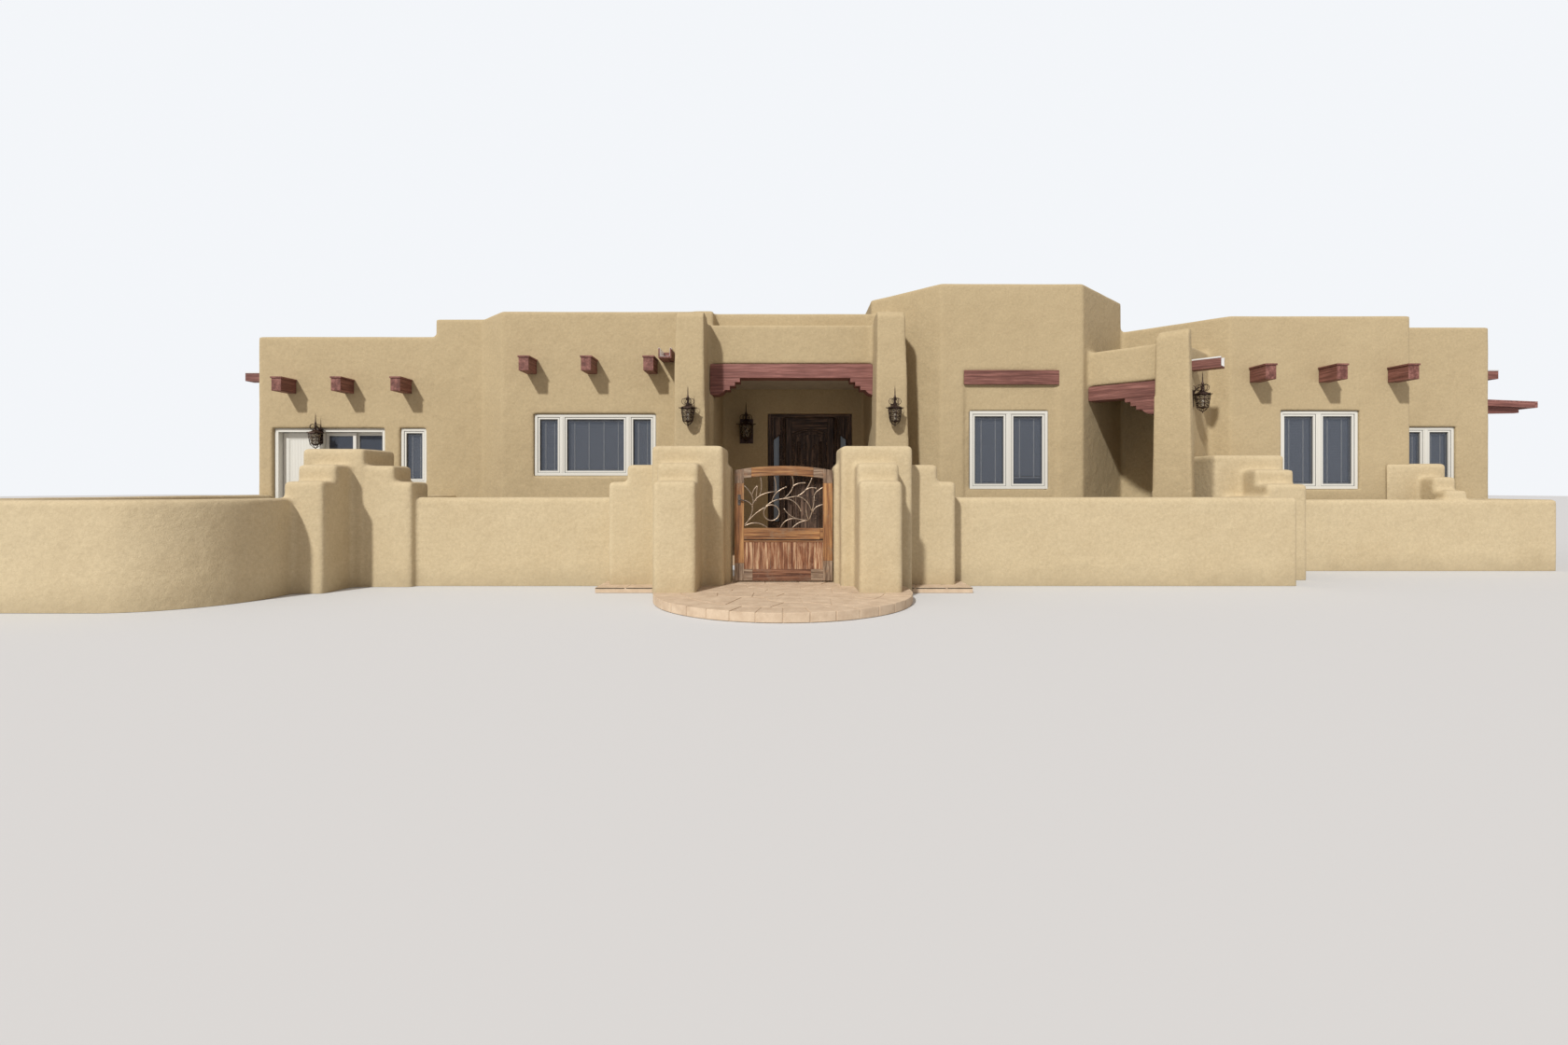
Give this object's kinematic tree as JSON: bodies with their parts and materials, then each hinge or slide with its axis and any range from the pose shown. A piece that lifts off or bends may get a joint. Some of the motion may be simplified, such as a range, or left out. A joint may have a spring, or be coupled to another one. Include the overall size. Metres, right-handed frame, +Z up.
{
  "type": "adobe house",
  "caption": "Single-storey adobe house with rounded plastered walls, a timber-beamed entry portal, a faceted tower room and a walled court with a wooden gate",
  "frame": {"origin": "centre of the house's footprint at ground level, under the middle of its bounding box", "axes": "+X runs to the right along the street front, +Y runs from the street into the house, +Z is up"},
  "size_m": [22.72, 13.9818, 4.504],
  "materials": {
    "house_plaster": "matt sand-textured plaster",
    "court_plaster": "matt sand-textured plaster",
    "roofing": "matt",
    "floor_stone": "matt, worn",
    "stained_timber": "weathered red-brown stain",
    "window_frame": "satin white",
    "pane": "tinted, reflective",
    "carved_wood": "dark oiled",
    "gate_wood": "sun-bleached orange-brown",
    "bronze_iron": "dark bronze"
  },
  "bodies": {
    "house": {"floor_slab": "floor_stone", "roof_deck": "roofing", "garden_wall_jambs": "house_plaster", "garden_wall_head": "house_plaster", "garden_side_wall": "house_plaster", "lounge_wall": "house_plaster", "portal_jambs": "house_plaster", "portal_wall": "house_plaster", "portal_parapet": "house_plaster", "portal_roof": "roofing", "portal_floor": "floor_stone", "entry_wall_jambs": "house_plaster", "entry_wall_head": "house_plaster", "tower_wall": "house_plaster", "tower_raised_walls": "house_plaster", "tower_roof": "roofing", "bedroom_wall": "house_plaster", "end_room_wall": "house_plaster", "end_side_wall": "house_plaster", "rear_wall": "house_plaster", "inner_parapet": "house_plaster", "portal_buttresses": "house_plaster", "porch_buttress": "house_plaster", "porch_walls": "house_plaster", "porch_roof": "roofing", "portal_beam": "stained_timber", "tower_beam": "stained_timber", "porch_beam": "stained_timber", "vigas": "stained_timber", "roof_spouts": "stained_timber", "side_canopy": "stained_timber", "window_frames": "window_frame", "window_glass": "pane", "entry_frame": "carved_wood", "entry_glass": "pane", "garden_door_frame": "window_frame", "lanterns": "bronze_iron", "court_walls": "court_plaster", "garden_court_wall": "court_plaster", "end_court_wall": "court_plaster", "left_pier": "court_plaster", "gate_pier_left": "court_plaster", "gate_pier_right": "court_plaster", "court_pier": "court_plaster", "end_pier": "court_plaster", "entry_step": "floor_stone", "gate_hinges": "bronze_iron", "side_door": "window_frame"},
    "gate": {"gate_frame": "gate_wood", "gate_scrollwork": "bronze_iron"},
    "entry_leaf": {"entry_door": "carved_wood"},
    "garden_leaf": {"garden_door_leaf": "window_frame"},
    "slider": {"garden_slider": "window_frame"}
  },
  "joints": [
    {"name": "gate_hinge", "type": "hinge", "parent": "house", "child": "gate", "pos_m": [-1.246, -4.8567, 0.8], "axis": [0, 0, -1], "range_deg": [0, 90]},
    {"name": "entry_door_hinge", "type": "hinge", "parent": "house", "child": "entry_leaf", "pos_m": [-0.889, -0.0927, 1.4], "axis": [0, 0, -1], "range_deg": [0, 90]},
    {"name": "garden_door_hinge", "type": "hinge", "parent": "house", "child": "garden_leaf", "pos_m": [-10.636, -1.1427, 1.2], "axis": [0, 0, 1], "range_deg": [0, 90]},
    {"name": "garden_slide", "type": "slide", "parent": "house", "child": "slider", "axis": [1, 0, 0], "range_m": [0, 0.45]}
  ]
}
